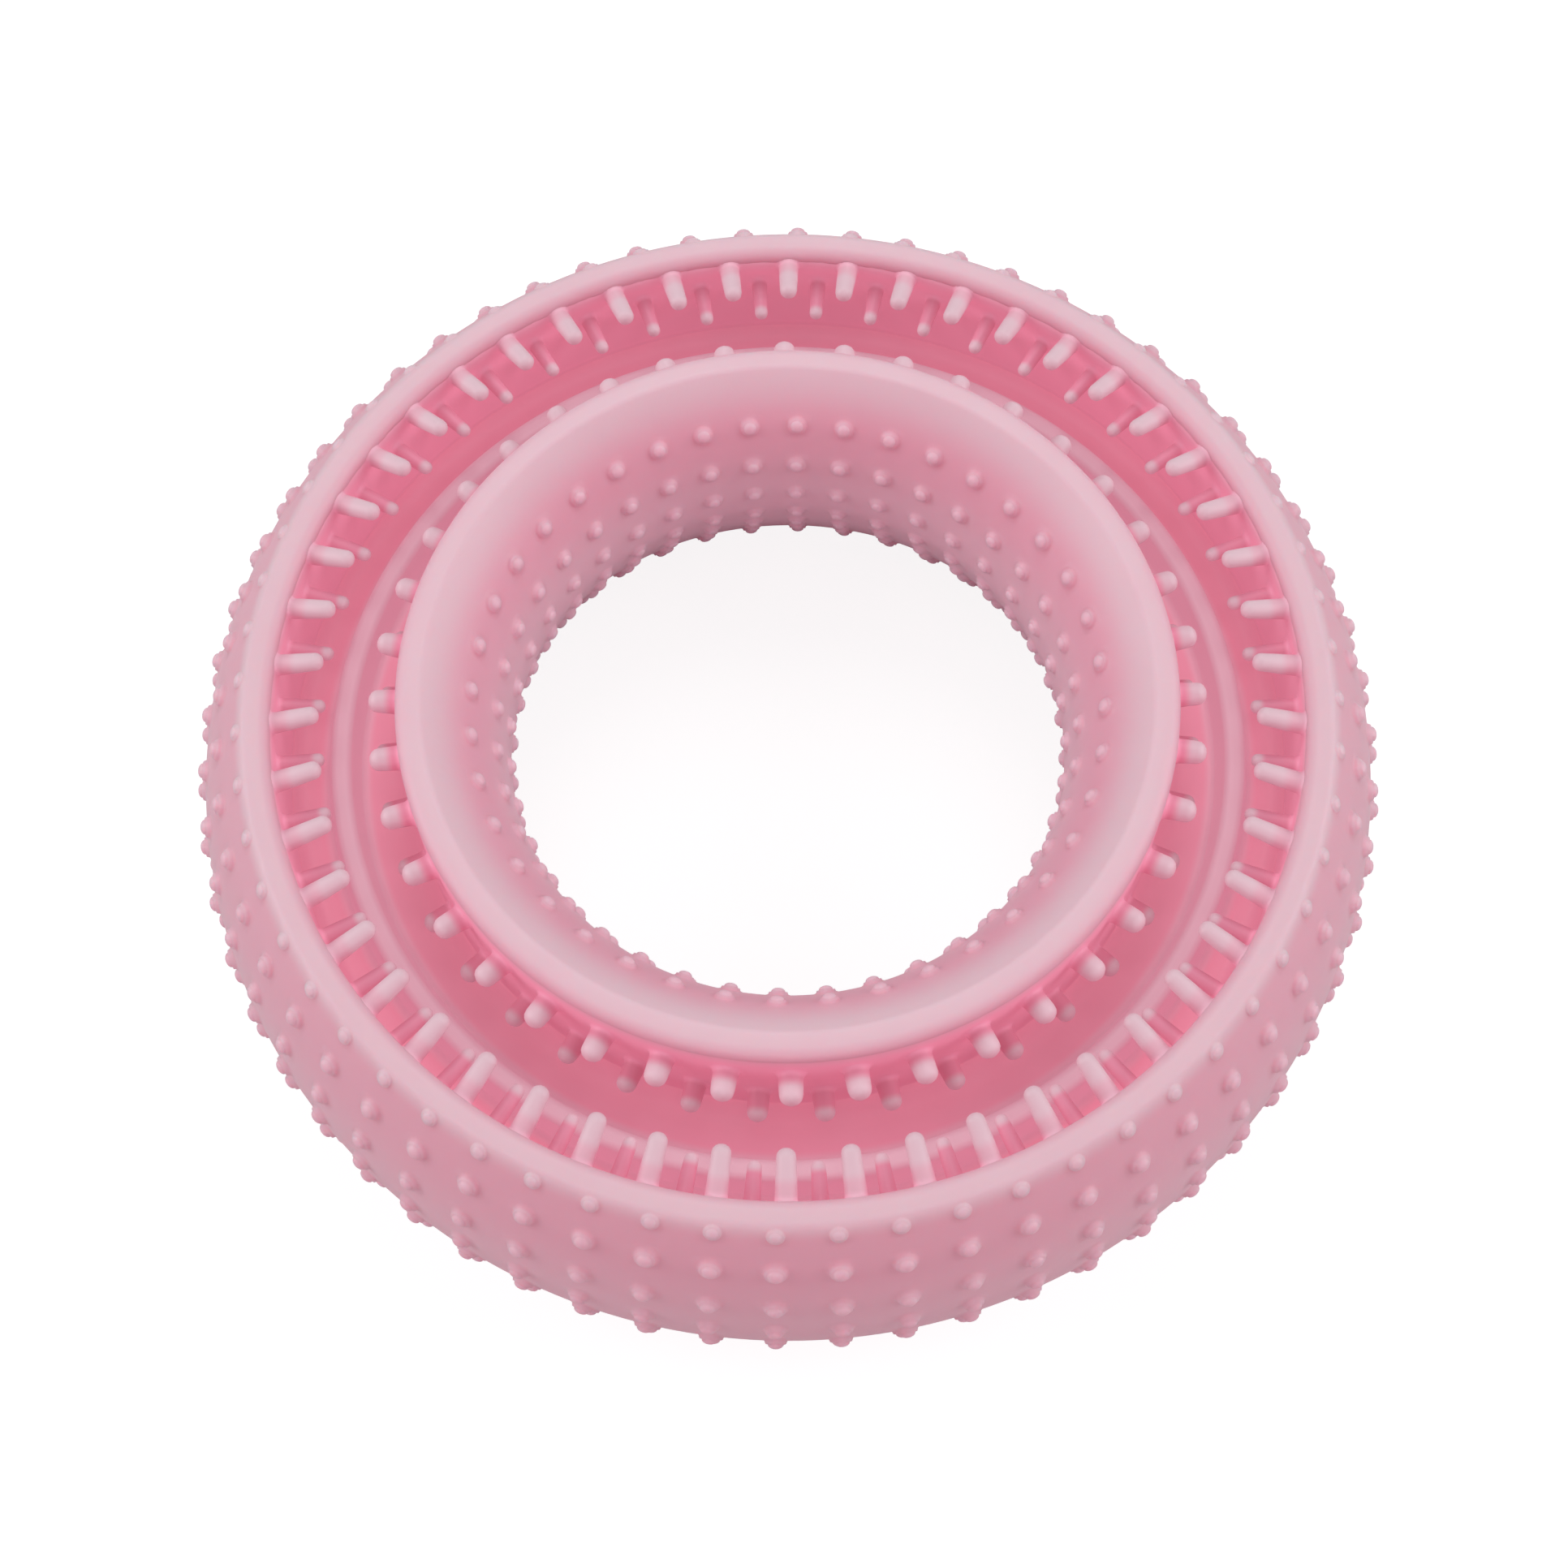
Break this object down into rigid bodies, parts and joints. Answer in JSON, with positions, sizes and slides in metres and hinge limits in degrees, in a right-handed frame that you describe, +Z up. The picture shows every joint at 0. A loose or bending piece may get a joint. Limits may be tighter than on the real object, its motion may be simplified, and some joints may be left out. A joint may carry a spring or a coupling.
{
  "type": "ring dog chew toy",
  "caption": "Ring-shaped dog chew toy in soft rubber with a nubbed tread and bore, and pegged tooth-cleaning troughs around its faces.",
  "frame": {"origin": "centre of the ring, on the plane it rests on", "axes": "+Z up along the ring's axis, -Y towards the viewer, +X to the viewer's right"},
  "size_m": [0.1238, 0.1238, 0.037],
  "materials": {
    "pale_rubber": "matte soft-touch",
    "deep_rubber": "matte soft-touch"
  },
  "bodies": {
    "root": {"outer_wall": "pale_rubber", "inner_wall": "pale_rubber", "centre_web": "pale_rubber", "upper_outer_pegs": "deep_rubber", "upper_inner_pegs": "deep_rubber", "lower_outer_pegs": "deep_rubber", "lower_inner_pegs": "deep_rubber"}
  },
  "joints": []
}
